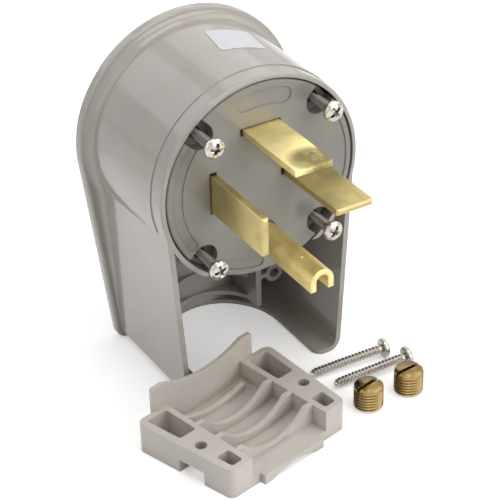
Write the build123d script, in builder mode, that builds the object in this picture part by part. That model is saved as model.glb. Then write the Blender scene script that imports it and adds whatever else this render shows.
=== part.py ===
from build123d import *
from math import asin, atan2, cos, degrees, pi, radians, sin
import os

os.makedirs("parts", exist_ok=True)

# An angle plug with its cord clamp taken off. Millimetres.
# The origin is the centre of the contact face. +X is right and +Z up when looking at
# the blades, which point along -Y. The plug stands on the two legs of its housing.

# Levels
floor_level = -74.2
fit_gap = 0.3
quarter_turn = 90.0

# Drum of the housing
drum_radius = 35.2
drum_rear_radius = 35.9
rim_radius = 34.9
rim_length = 6.2
rim_edge_radius = 0.8
bore_radius = 33.4
body_depth = 47.5
back_wall = 1.8

# Flange round the rear edge
flange_radius = 39.3
flange_thickness = 3.6
flange_foot_half_width = 31.0
flange_foot_radius = 4.0
flange_edge_radius = 1.1
flare_radius = 3.0
flare_foot_radius = 0.3

# Legs
leg_top_level = -9.0
leg_top_half_width = 33.4
leg_foot_half_width = 29.0
leg_foot_radius = 4.8
leg_wall = 1.8
foot_plate = 1.5
foot_plate_corner = 3.5
ring_opening_half_width = 21.0
cord_opening_half_width = 19.9
cord_opening_half_depth = 21.9
cord_opening_rear_wall = 1.0

# Cord channel inside the housing
channel_half_width = 14.8
channel_wall = 2.0
channel_wall_front = 29.5
channel_wall_top = -28.0
saddle_count = 3
saddle_pitch = 8.7
saddle_first_gap = 3.4
saddle_thickness = 1.6
saddle_radius = 16.2
saddle_rim = 1.0

# Bosses for the clamp screws and for the face screws
clamp_screw_spacing = 44.0
clamp_boss_radius = 3.3
clamp_boss_web = 1.6
clamp_hole_depth = 14.0
face_screw_x = 20.6
face_screw_z = 21.0
face_boss_radius = 4.3
face_hole_depth = 24.0

# Contact carrier: the face that the blades stand in, and its insulating back
carrier_radius = 32.9
carrier_thickness = 9.0
carrier_edge = 0.5
recess_radius = 4.3
recess_depth = 4.5
panel_depth = 0.4
panel_radius = 29.2
panel_width = 3.4
left_panel_start = 144.0
left_panel_span = 69.0
right_panel_start = -14.0
right_panel_span = 38.0
top_panel_radius = 27.8
top_panel_width = 5.6
top_panel_start = 73.0
top_panel_span = 28.0
bottom_panel_start = -112.0
bottom_panel_span = 19.0
back_plate_radius = 29.5
back_plate_thickness = 3.0
sleeve_wall = 1.8
sleeve_depth = 12.5
driver_hole_radius = 5.4
boss_clearance = 0.6

# Blades and ground pin
blade_width = 12.7
blade_thickness = 2.1
blade_reach = 30.0
blade_tip_chamfer = 0.5
blade_corner_radius = 1.0
blade_slot_gap = 0.2
blade_slot_end_gap = 0.7
top_blade_z = 18.1
left_blade_x = -16.8
right_blade_x = 14.1
side_blade_z = 0.5
shoulder_width = 15.4
shoulder_height = 6.4
shoulder_length = 1.5
tail_width = 8.0
tail_length = 3.2
ground_pin_width = 8.0
ground_pin_wall = 1.9
ground_pin_x = 0.8
ground_pin_reach = 32.9
ground_pin_top = -15.2
ground_pin_bottom = -22.3
ground_terminal_z = -19.0

# Pressure terminals behind the contacts
terminal_size = 13.0
terminal_depth = 13.5
terminal_web = 1.7
wire_hole_radius = 3.5
wire_hole_shift = 2.0
wire_hole_depth = 10.0
pressure_screw_radius = 4.76
pressure_screw_length = 8.5
pressure_screw_slot = 1.3
pressure_screw_slot_depth = 1.7
pressure_screw_chamfer = 0.8
pressure_screw_stand = 1.6

# Screw that holds the carrier's two halves together
carrier_screw_x = -1.6
carrier_screw_z = -0.4
carrier_screw_length = 9.5

# Face screws, backed out so that the carrier can be lifted
face_screw_radius = 1.75
face_screw_length = 25.4
face_screw_head_radius = 3.3
face_screw_head_height = 2.3
face_screw_stand = 9.8
screw_gap = 0.1

# Clamp screws, lying on the floor
clamp_screw_radius = 1.6
clamp_screw_length = 26.4
clamp_screw_head_radius = 3.3
clamp_screw_head_height = 2.3
clamp_screw_point = 1.0
cross_width = 0.9
cross_depth = 1.3

# Cord clamp, lying saddle up on the floor
clamp_centre_x = -21.1
clamp_centre_y = -23.1
clamp_turn = 12.9
clamp_length = 38.4
clamp_height = 10.5
clamp_wide_half = 28.4
clamp_narrow_half = 24.4
clamp_corner_radius = 2.5
clamp_hole_offset = -3.3
clamp_hole_radius = 1.9
clamp_notch_width = 10.0
clamp_notch_height = 4.6
clamp_inner_wall = 2.0
clamp_outer_wall = 2.6
pocket_depth = 8.5
pocket_corner_radius = 1.0
large_pocket_near = 3.6
large_pocket_far = 17.2
small_pocket_near = -17.0
small_pocket_far = -10.6
trough_half_width = 15.7
trough_thickness = 1.6
trough_sag = 2.0
trough_wall_level = 4.1
rib_count = 3
rib_first_offset = 5.2
rib_pitch = 8.8
rib_thickness = 1.8
rib_half_span = 13.0
rib_sag = 5.8
low_rib_offset = 14.6
low_rib_half_length = 12.6
low_rib_level = 6.2
low_rib_sag = 2.4
fin_half_width = 21.2
fin_thickness = 1.4
fin_height = 18.8
fin_half_span = 16.6
fin_sag = 3.9
fin_corner_radius = 0.8
end_lip_half_width = 12.6
end_lip_height = 3.4
end_lip_reach = 2.0
end_arch_half_width = 9.6
end_arch_rise = 2.4

# Loose pieces on the floor
first_screw_head_x = 40.2
first_screw_head_y = -11.9
second_screw_head_x = 43.9
second_screw_head_y = -19.7
first_screw_turn = 174.3
second_screw_turn = 176.0
first_pressure_screw_x = 19.5
first_pressure_screw_y = -30.8
second_pressure_screw_x = 34.9
second_pressure_screw_y = -31.0
first_slot_turn = 38.0
second_slot_turn = 34.0

# Paper label on the drum
label_width = 15.0
label_length = 14.0
label_turn = 8.0
label_angle = 11.6
label_depth = 25.8
label_corner_radius = 1.2
label_thickness = 0.15
label_gap = 0.02

# Worked-out places
flange_front = body_depth - flange_thickness
drum_slope = (drum_rear_radius - drum_radius) / (flange_front + flange_thickness / 2 - rim_length)
flare_start = drum_radius + (flange_front - rim_length) * drum_slope
cavity_depth = body_depth - back_wall
cord_opening_centre = body_depth - cord_opening_rear_wall - cord_opening_half_depth
channel_foot = floor_level + foot_plate + saddle_first_gap
trough_underside = trough_wall_level - trough_thickness
last_rib_offset = rib_first_offset - (rib_count - 1) * rib_pitch
low_rib_foot = trough_wall_level - trough_thickness / 2
saddle_centre = cavity_depth - saddle_rim - saddle_radius
clamp_boss_level = floor_level + fit_gap + clamp_length / 2 + clamp_hole_offset
back_plate_rear = carrier_thickness + back_plate_thickness
terminal_rear = back_plate_rear + terminal_depth
tail_end = carrier_thickness + shoulder_length + tail_length
pressure_screw_depth = terminal_rear - terminal_web - pressure_screw_radius - screw_gap


def depth_plane(depth):
    """Plane facing the viewer, this far behind the contact face."""
    return Plane.XZ.offset(-depth)


def leg_half_width(level, inset):
    """Half of the distance between the legs' outer faces at a level, less a wall."""
    share = (leg_top_level - level) / (leg_top_level - floor_level)
    return leg_top_half_width + (leg_foot_half_width - leg_top_half_width) * share - inset


def sagged_edge(half_width, level, sag):
    """Arc across a saddle: at this level at both ends and lower in the middle."""
    return ThreePointArc((-half_width, level), (0, level - sag), (half_width, level))


def draw_flare(face, radius):
    """Outline of the hollow curve where a face at this distance meets the flange."""
    front = flange_front - abs(radius)
    rear = flange_front + flange_thickness / 2
    middle = (face + radius * (1 - cos(pi / 4)), flange_front - abs(radius) * (1 - sin(pi / 4)))
    Polyline((face, front), (face - radius, front), (face - radius, rear), (face + radius, rear))
    Line((face + radius, rear), (face + radius, flange_front))
    ThreePointArc((face + radius, flange_front), middle, (face, front))


# Housing: one moulding with drum, flange, legs, cord channel and screw bosses
with BuildPart() as housing:
    with BuildSketch(depth_plane(flange_front)):
        Circle(flange_radius)
        with Locations(
            (flange_foot_half_width - flange_foot_radius, floor_level + flange_foot_radius),
            (flange_foot_radius - flange_foot_half_width, floor_level + flange_foot_radius),
        ):
            Circle(flange_foot_radius)
        make_hull()
    extrude(amount=-flange_thickness)
    fillet(housing.edges().group_by(Axis.Y)[0], flange_edge_radius)
    fillet(housing.edges().group_by(Axis.Y)[-1], flange_edge_radius / 2)
    with BuildSketch(Plane.XY) as drum_profile:
        with BuildLine():
            Polyline(
                (0, 0),
                (rim_radius, 0),
                (rim_radius, rim_length),
                (drum_radius, rim_length),
                (drum_rear_radius, flange_front + flange_thickness / 2),
                (0, flange_front + flange_thickness / 2),
                close=True,
            )
        make_face()
        fillet(drum_profile.vertices().group_by(Axis.Y)[0].sort_by(Axis.X)[-1], rim_edge_radius)
    revolve(axis=Axis.Y)
    with BuildSketch(depth_plane(0)) as leg_outline:
        with BuildLine():
            Polyline(
                (-leg_top_half_width, leg_top_level),
                (leg_top_half_width, leg_top_level),
                (leg_foot_half_width, floor_level),
                (-leg_foot_half_width, floor_level),
                close=True,
            )
        make_face()
        fillet(leg_outline.vertices().group_by(Axis.Y)[0], leg_foot_radius)
    extrude(amount=-(flange_front + flange_thickness / 2))
    # Hollow curve that joins the drum and the legs to the flange, fading out at the feet
    with BuildSketch(Plane.XY):
        with BuildLine():
            draw_flare(flare_start, flare_radius)
        make_face()
    revolve(axis=Axis.Y)
    for side in (-1, 1):
        for level, radius in (
            (leg_top_level, flare_radius),
            (floor_level + leg_foot_radius, flare_foot_radius),
        ):
            with BuildSketch(Plane.XY.offset(level)):
                with BuildLine():
                    draw_flare(side * leg_half_width(level, 0), side * radius)
                make_face()
        loft()
    # Hollow of the drum and the pockets between the legs
    with BuildSketch(depth_plane(0)):
        Circle(bore_radius)
    extrude(amount=-cavity_depth, mode=Mode.SUBTRACT)
    with BuildSketch(depth_plane(0)) as pocket_outline:
        with BuildLine():
            Polyline(
                (-leg_half_width(leg_top_level, leg_wall), leg_top_level),
                (leg_half_width(leg_top_level, leg_wall), leg_top_level),
                (leg_half_width(floor_level + foot_plate, leg_wall), floor_level + foot_plate),
                (-leg_half_width(floor_level + foot_plate, leg_wall), floor_level + foot_plate),
                close=True,
            )
        make_face()
        fillet(pocket_outline.vertices().group_by(Axis.Y)[0], leg_foot_radius - leg_wall)
        Circle(rim_radius, mode=Mode.SUBTRACT)
        with Locations((0, -rim_radius)):
            Rectangle(2 * ring_opening_half_width, 2 * (rim_radius + channel_wall_top))
    extrude(amount=-cavity_depth, mode=Mode.SUBTRACT)
    with BuildSketch(Plane.XY.offset(floor_level)):
        with Locations((0, cord_opening_centre)):
            Ellipse(cord_opening_half_width, cord_opening_half_depth)
        with Locations((0, cord_opening_centre / 2)):
            Rectangle(2 * cord_opening_half_width, cord_opening_centre)
        for side in (-1, 1):
            with Locations((side * cord_opening_half_width, foot_plate_corner / 2)):
                Rectangle(2 * foot_plate_corner, foot_plate_corner)
            with Locations((side * (cord_opening_half_width + foot_plate_corner), foot_plate_corner)):
                Circle(foot_plate_corner, mode=Mode.SUBTRACT)
    extrude(amount=foot_plate, mode=Mode.SUBTRACT)
    # Side walls and saddle ribs of the cord channel
    with BuildSketch(Plane.XY.offset(channel_foot)):
        with Locations(
            (channel_half_width + channel_wall / 2, (channel_wall_front + cavity_depth) / 2),
            (-channel_half_width - channel_wall / 2, (channel_wall_front + cavity_depth) / 2),
        ):
            Rectangle(channel_wall, cavity_depth - channel_wall_front)
    extrude(amount=channel_wall_top - channel_foot)
    for number in range(saddle_count):
        with BuildSketch(Plane.XY.offset(channel_foot + number * saddle_pitch)):
            with Locations((0, (saddle_centre + cavity_depth) / 2)):
                Rectangle(2 * channel_half_width, cavity_depth - saddle_centre)
            with Locations((0, saddle_centre)):
                Circle(saddle_radius, mode=Mode.SUBTRACT)
        extrude(amount=saddle_thickness)
    # Bosses for the clamp screws, each with a web to the channel wall
    with BuildSketch(depth_plane(channel_wall_front)):
        for side in (-1, 1):
            with Locations((side * clamp_screw_spacing / 2, clamp_boss_level)):
                Circle(clamp_boss_radius)
            with Locations((side * (clamp_screw_spacing / 2 + channel_half_width) / 2, clamp_boss_level)):
                Rectangle(clamp_screw_spacing / 2 - channel_half_width, clamp_boss_web)
    extrude(amount=-(cavity_depth - channel_wall_front))
    with BuildSketch(depth_plane(channel_wall_front)):
        with GridLocations(clamp_screw_spacing, 0, 2, 1):
            with Locations((0, clamp_boss_level)):
                Circle(clamp_screw_radius + screw_gap)
    extrude(amount=-clamp_hole_depth, mode=Mode.SUBTRACT)
    # Bosses behind the carrier for the face screws
    with BuildSketch(depth_plane(carrier_thickness)):
        with GridLocations(2 * face_screw_x, 2 * face_screw_z, 2, 2):
            Circle(face_boss_radius)
    extrude(amount=-(cavity_depth - carrier_thickness))
    with BuildSketch(depth_plane(carrier_thickness)):
        with GridLocations(2 * face_screw_x, 2 * face_screw_z, 2, 2):
            Circle(face_screw_radius + screw_gap)
    extrude(amount=-face_hole_depth, mode=Mode.SUBTRACT)

housing.part.label = "housing"
export_step(housing.part, "parts/housing.step")

# Each contact: name, centre on the face, turn of its flat, and turn of its pressure screw
contacts = (
    ("top", 0, top_blade_z, 0, 90),
    ("left", left_blade_x, side_blade_z, 90, 180),
    ("right", right_blade_x, side_blade_z, 0, 0),
    ("ground", ground_pin_x, ground_terminal_z, 0, 270),
)
blades = contacts[:3]
ground_arch_radius = ground_pin_width / 2
ground_arch_z = ground_pin_top - ground_arch_radius


def contact_plane(x, z, turn, depth):
    """Plane facing the viewer at this depth, centred on a contact, its X axis turned."""
    angle = radians(turn)
    return Plane(origin=(x, depth, z), x_dir=(cos(angle), 0, sin(angle)), z_dir=(0, -1, 0))


def outward_plane(x, z, turn, depth, distance):
    """Plane square to the way that a pressure screw points, this far out from its contact."""
    angle = radians(turn)
    centre = (x + distance * cos(angle), depth, z + distance * sin(angle))
    return Plane(origin=centre, x_dir=(0, 1, 0), z_dir=(cos(angle), 0, sin(angle)))


def ground_section(outer_gap, inner_gap):
    """Arched section of the ground pin, open at the bottom, grown by the gaps."""
    outer = ground_arch_radius + outer_gap
    inner = ground_arch_radius - ground_pin_wall - inner_gap
    foot = ground_pin_bottom - outer_gap
    with BuildSketch() as section:
        with BuildLine():
            Line((-outer, foot), (-outer, ground_arch_z))
            ThreePointArc((-outer, ground_arch_z), (0, ground_arch_z + outer), (outer, ground_arch_z))
            Line((outer, ground_arch_z), (outer, foot))
            Line((outer, foot), (inner, foot))
            Line((inner, foot), (inner, ground_arch_z))
            ThreePointArc((inner, ground_arch_z), (0, ground_arch_z + inner), (-inner, ground_arch_z))
            Line((-inner, ground_arch_z), (-inner, foot))
            Line((-inner, foot), (-outer, foot))
        make_face()
    return section.sketch.moved(Location((ground_pin_x, 0, 0)))


# Carrier face: disc with blade slots, screw recesses open to the rim and bare panels
with BuildPart() as carrier_face:
    with BuildSketch(depth_plane(0)):
        Circle(carrier_radius)
    extrude(amount=-carrier_thickness)
    chamfer(carrier_face.edges().group_by(Axis.Y)[0], carrier_edge)
    for side_x in (-1, 1):
        for side_z in (-1, 1):
            recess_turn = degrees(atan2(side_z * face_screw_z, side_x * face_screw_x))
            recess_plane = contact_plane(side_x * face_screw_x, side_z * face_screw_z, recess_turn, 0)
            with BuildSketch(recess_plane):
                Circle(recess_radius)
                with Locations((recess_radius, 0)):
                    Rectangle(2 * recess_radius, 2 * recess_radius)
            extrude(amount=-recess_depth, mode=Mode.SUBTRACT)
    with BuildSketch(depth_plane(0)):
        with GridLocations(2 * face_screw_x, 2 * face_screw_z, 2, 2):
            Circle(face_screw_radius + fit_gap)
        for name, x, z, flat_turn, screw_turn in blades:
            with Locations(Location((x, z, 0), flat_turn)):
                Rectangle(blade_width + 2 * blade_slot_end_gap, blade_thickness + 2 * blade_slot_gap)
        add(ground_section(blade_slot_gap, blade_slot_gap))
    extrude(amount=-carrier_thickness, mode=Mode.SUBTRACT)
    with BuildSketch(depth_plane(carrier_thickness)):
        with Locations((carrier_screw_x, carrier_screw_z)):
            Circle(clamp_screw_radius + screw_gap)
    extrude(amount=carrier_screw_length - back_plate_thickness + fit_gap, mode=Mode.SUBTRACT)
    # Shallow bare panels along the rim, one between each pair of recesses
    panels = (
        (panel_radius, panel_width, left_panel_start, left_panel_span),
        (panel_radius, panel_width, right_panel_start, right_panel_span),
        (top_panel_radius, top_panel_width, top_panel_start, top_panel_span),
        (panel_radius, panel_width, bottom_panel_start, bottom_panel_span),
    )
    for mid_radius, width, start, span in panels:
        with BuildSketch(depth_plane(0)):
            with BuildLine(mode=Mode.PRIVATE):
                panel_arc = CenterArc((0, 0), mid_radius, start, span)
            SlotArc(panel_arc, width)
        extrude(amount=-panel_depth, mode=Mode.SUBTRACT)

carrier_face.part.label = "carrier_face"
export_step(carrier_face.part, "parts/carrier_face.step")

# Carrier back: plate that traps the contacts' shoulders, and a sleeve round each terminal
sleeve_inner = terminal_size + 2 * screw_gap
sleeve_outer = sleeve_inner + 2 * sleeve_wall
with BuildPart() as carrier_back:
    with BuildSketch(depth_plane(carrier_thickness)):
        Circle(back_plate_radius)
        with GridLocations(2 * face_screw_x, 2 * face_screw_z, 2, 2):
            Circle(face_boss_radius + boss_clearance, mode=Mode.SUBTRACT)
        with Locations((carrier_screw_x, carrier_screw_z)):
            Circle(clamp_screw_radius + fit_gap, mode=Mode.SUBTRACT)
    extrude(amount=-back_plate_thickness)
    for name, x, z, flat_turn, screw_turn in contacts:
        with BuildSketch(contact_plane(x, z, 0, back_plate_rear)):
            Rectangle(sleeve_outer, sleeve_outer)
        extrude(amount=-sleeve_depth)
    for name, x, z, flat_turn, screw_turn in contacts:
        with BuildSketch(contact_plane(x, z, 0, back_plate_rear)):
            Rectangle(sleeve_inner, sleeve_inner)
        extrude(amount=-sleeve_depth, mode=Mode.SUBTRACT)
        with BuildSketch(outward_plane(x, z, screw_turn, pressure_screw_depth, 0)):
            Circle(driver_hole_radius)
        extrude(amount=sleeve_outer, mode=Mode.SUBTRACT)
        with BuildSketch(contact_plane(x, z, flat_turn, carrier_thickness)):
            Rectangle(shoulder_width + fit_gap, shoulder_height + fit_gap)
        extrude(amount=-(shoulder_length + screw_gap), mode=Mode.SUBTRACT)
        with BuildSketch(contact_plane(x, z, flat_turn, carrier_thickness)):
            Rectangle(tail_width + fit_gap, blade_thickness + fit_gap)
        extrude(amount=-back_plate_thickness, mode=Mode.SUBTRACT)

carrier_back.part.label = "carrier_back"
export_step(carrier_back.part, "parts/carrier_back.step")

# Blades: flat bars with rounded corners and a chamfered tip, a shoulder behind the face and a
# tail to the terminal
for name, x, z, flat_turn, screw_turn in blades:
    with BuildPart() as blade:
        with BuildSketch(outward_plane(x, z, flat_turn + quarter_turn, -blade_reach, 0)) as flat:
            with Locations(((blade_reach + carrier_thickness) / 2, 0)):
                Rectangle(blade_reach + carrier_thickness, blade_width)
            fillet(flat.vertices().group_by(Axis.X)[0], blade_corner_radius)
        extrude(amount=blade_thickness / 2, both=True)
        with BuildSketch(outward_plane(x, z, flat_turn, -blade_reach, 0)) as profile:
            with Locations(((blade_reach + carrier_thickness) / 2, 0)):
                Rectangle(blade_reach + carrier_thickness, blade_thickness)
            chamfer(profile.vertices().group_by(Axis.X)[0], blade_tip_chamfer)
        extrude(amount=blade_width / 2, both=True, mode=Mode.INTERSECT)
        with BuildSketch(contact_plane(x, z, flat_turn, carrier_thickness)):
            Rectangle(shoulder_width, shoulder_height)
        extrude(amount=-shoulder_length)
        with BuildSketch(contact_plane(x, z, flat_turn, carrier_thickness)):
            Rectangle(tail_width, blade_thickness)
        extrude(amount=-(shoulder_length + tail_length))
    blade.part.label = "blade_" + name
    export_step(blade.part, "parts/blade_" + name + ".step")

# Ground pin: a strip bent to an arch, longer than the blades, on its own shoulder and tail
with BuildPart() as ground_pin:
    with BuildSketch(depth_plane(-ground_pin_reach)):
        add(ground_section(0, 0))
    extrude(amount=-(ground_pin_reach + carrier_thickness))
    chamfer(ground_pin.edges().group_by(Axis.Y)[0], ground_pin_wall / 5)
    with BuildSketch(contact_plane(ground_pin_x, ground_terminal_z, 0, carrier_thickness)):
        Rectangle(shoulder_width, shoulder_height)
    extrude(amount=-shoulder_length)
    with BuildSketch(contact_plane(ground_pin_x, ground_terminal_z, 0, carrier_thickness)):
        Rectangle(tail_width, blade_thickness)
    extrude(amount=-(shoulder_length + tail_length))

ground_pin.part.label = "ground_pin"
export_step(ground_pin.part, "parts/ground_pin.step")

# Pressure terminals: block with a wire hole from the rear and a screw bore from outside
for name, x, z, flat_turn, screw_turn in contacts:
    with BuildPart() as terminal:
        with BuildSketch(contact_plane(x, z, 0, back_plate_rear)):
            Rectangle(terminal_size, terminal_size)
        extrude(amount=-terminal_depth)
        chamfer(terminal.edges().group_by(Axis.Y)[-1], fit_gap)
        with BuildSketch(contact_plane(x, z, screw_turn, terminal_rear)):
            with Locations((-wire_hole_shift, 0)):
                Circle(wire_hole_radius)
        extrude(amount=wire_hole_depth, mode=Mode.SUBTRACT)
        with BuildSketch(outward_plane(x, z, screw_turn, pressure_screw_depth, -wire_hole_shift)):
            Circle(pressure_screw_radius + screw_gap)
        extrude(amount=terminal_size, mode=Mode.SUBTRACT)
        with BuildSketch(contact_plane(x, z, flat_turn, back_plate_rear)):
            Rectangle(tail_width + screw_gap, blade_thickness + screw_gap)
        extrude(amount=back_plate_rear - tail_end - screw_gap, mode=Mode.SUBTRACT)
    terminal.part.label = "terminal_" + name
    export_step(terminal.part, "parts/terminal_" + name + ".step")


def pressure_screw(base_plane, slot_turn):
    """Slotted set screw that stands on a plane, its driver slot turned."""
    with BuildPart() as screw:
        with BuildSketch(base_plane):
            Circle(pressure_screw_radius)
        extrude(amount=pressure_screw_length)
        chamfer(screw.edges().filter_by(GeomType.CIRCLE), pressure_screw_chamfer)
        slot_plane = base_plane.offset(pressure_screw_length).rotated((0, 0, slot_turn))
        with BuildSketch(slot_plane):
            Rectangle(3 * pressure_screw_radius, pressure_screw_slot)
        extrude(amount=-pressure_screw_slot_depth, mode=Mode.SUBTRACT)
    return screw.part


# Two pressure screws stay in their terminals and two stand on the floor
screw_seat = terminal_size / 2 + pressure_screw_stand - pressure_screw_length
fitted_screws = []
for name, x, z, flat_turn, screw_turn in (contacts[0], contacts[3]):
    seat_plane = outward_plane(x, z, screw_turn, pressure_screw_depth, screw_seat)
    fitted_screws.append(pressure_screw(seat_plane, 45))
fitted_pressure_screws = Compound(label="fitted_pressure_screws", children=fitted_screws)
export_step(fitted_pressure_screws, "parts/fitted_pressure_screws.step")

loose_screws = []
for place_x, place_y, slot_turn in (
    (first_pressure_screw_x, first_pressure_screw_y, first_slot_turn),
    (second_pressure_screw_x, second_pressure_screw_y, second_slot_turn),
):
    stand_plane = Plane(origin=(place_x, place_y, floor_level), z_dir=(0, 0, 1))
    loose_screws.append(pressure_screw(stand_plane, slot_turn))
loose_pressure_screws = Compound(label="loose_pressure_screws", children=loose_screws)
export_step(loose_pressure_screws, "parts/loose_pressure_screws.step")


def pan_head_screw(head_plane, shank_radius, shank_length, point_length, head_radius, head_height):
    """Cross-recessed screw whose axis is the plane's X axis, from head top to tip."""
    with BuildPart() as screw:
        with BuildSketch(head_plane):
            with BuildLine():
                ThreePointArc(
                    (0, 0),
                    (head_height * 0.22, head_radius * 0.72),
                    (head_height * 0.62, head_radius),
                )
                Polyline(
                    (head_height * 0.62, head_radius),
                    (head_height, head_radius),
                    (head_height, shank_radius),
                    (head_height + shank_length - point_length, shank_radius),
                    (head_height + shank_length, shank_radius * 0.6),
                    (head_height + shank_length, 0),
                    (0, 0),
                )
            make_face()
        revolve(axis=Axis(head_plane.origin, head_plane.x_dir))
        top_plane = Plane(origin=head_plane.origin, x_dir=head_plane.y_dir, z_dir=head_plane.x_dir)
        with BuildSketch(top_plane):
            Rectangle(1.2 * head_radius, cross_width)
            Rectangle(cross_width, 1.2 * head_radius)
        extrude(amount=cross_depth, mode=Mode.SUBTRACT)
    return screw.part


# Face screws, standing proud of the carrier in their housing bosses
face_screw_parts = []
for side_x in (-1, 1):
    for side_z in (-1, 1):
        screw_plane = Plane(
            origin=(side_x * face_screw_x, -face_screw_stand, side_z * face_screw_z),
            x_dir=(0, 1, 0),
            z_dir=(side_x, 0, side_z),
        )
        face_screw_parts.append(
            pan_head_screw(
                screw_plane,
                face_screw_radius,
                face_screw_length,
                face_screw_radius / 2,
                face_screw_head_radius,
                face_screw_head_height,
            )
        )
face_screws = Compound(label="face_screws", children=face_screw_parts)
export_step(face_screws, "parts/face_screws.step")

# Carrier screw, put in from the rear
carrier_screw_plane = Plane(
    origin=(carrier_screw_x, back_plate_rear + clamp_screw_head_height, carrier_screw_z),
    x_dir=(0, -1, 0),
    z_dir=(0, 0, 1),
)
carrier_screw = pan_head_screw(
    carrier_screw_plane,
    clamp_screw_radius,
    carrier_screw_length,
    clamp_screw_point,
    clamp_screw_head_radius,
    clamp_screw_head_height,
)
carrier_screw.label = "carrier_screw"
export_step(carrier_screw, "parts/carrier_screw.step")

# Clamp screws, each lying on the edge of its head and on its thread
screw_tilt = asin((clamp_screw_head_radius - clamp_screw_radius) / clamp_screw_length)
clamp_screw_parts = []
for head_x, head_y, turn in (
    (first_screw_head_x, first_screw_head_y, first_screw_turn),
    (second_screw_head_x, second_screw_head_y, second_screw_turn),
):
    angle = radians(turn)
    axis_height = clamp_screw_head_radius * cos(screw_tilt) + clamp_screw_head_height * sin(screw_tilt)
    lying_plane = Plane(
        origin=(head_x, head_y, floor_level + axis_height),
        x_dir=(cos(angle) * cos(screw_tilt), sin(angle) * cos(screw_tilt), -sin(screw_tilt)),
        z_dir=(sin(angle), -cos(angle), 0),
    )
    clamp_screw_parts.append(
        pan_head_screw(
            lying_plane,
            clamp_screw_radius,
            clamp_screw_length,
            clamp_screw_point,
            clamp_screw_head_radius,
            clamp_screw_head_height,
        )
    )
clamp_screws = Compound(label="clamp_screws", children=clamp_screw_parts)
export_step(clamp_screws, "parts/clamp_screws.step")

# Cord clamp: one moulding with two towers, a ribbed saddle between them and a tall fin
clamp_angle = radians(clamp_turn)
clamp_plane = Plane(
    origin=(clamp_centre_x, clamp_centre_y, floor_level),
    x_dir=(cos(clamp_angle), sin(clamp_angle), 0),
    z_dir=(0, 0, 1),
)


def clamp_section(offset):
    """Upright plane across the clamp, this far toward the fin, its Y axis up."""
    origin = clamp_plane.origin + clamp_plane.y_dir * offset
    return Plane(origin=origin, x_dir=clamp_plane.x_dir, z_dir=-clamp_plane.y_dir)


def tower_edge(offset, inset):
    """Distance of the tower's outer face from the middle at an offset, less a wall."""
    share = (offset + clamp_length / 2) / clamp_length
    return clamp_narrow_half + (clamp_wide_half - clamp_narrow_half) * share - inset


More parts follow.
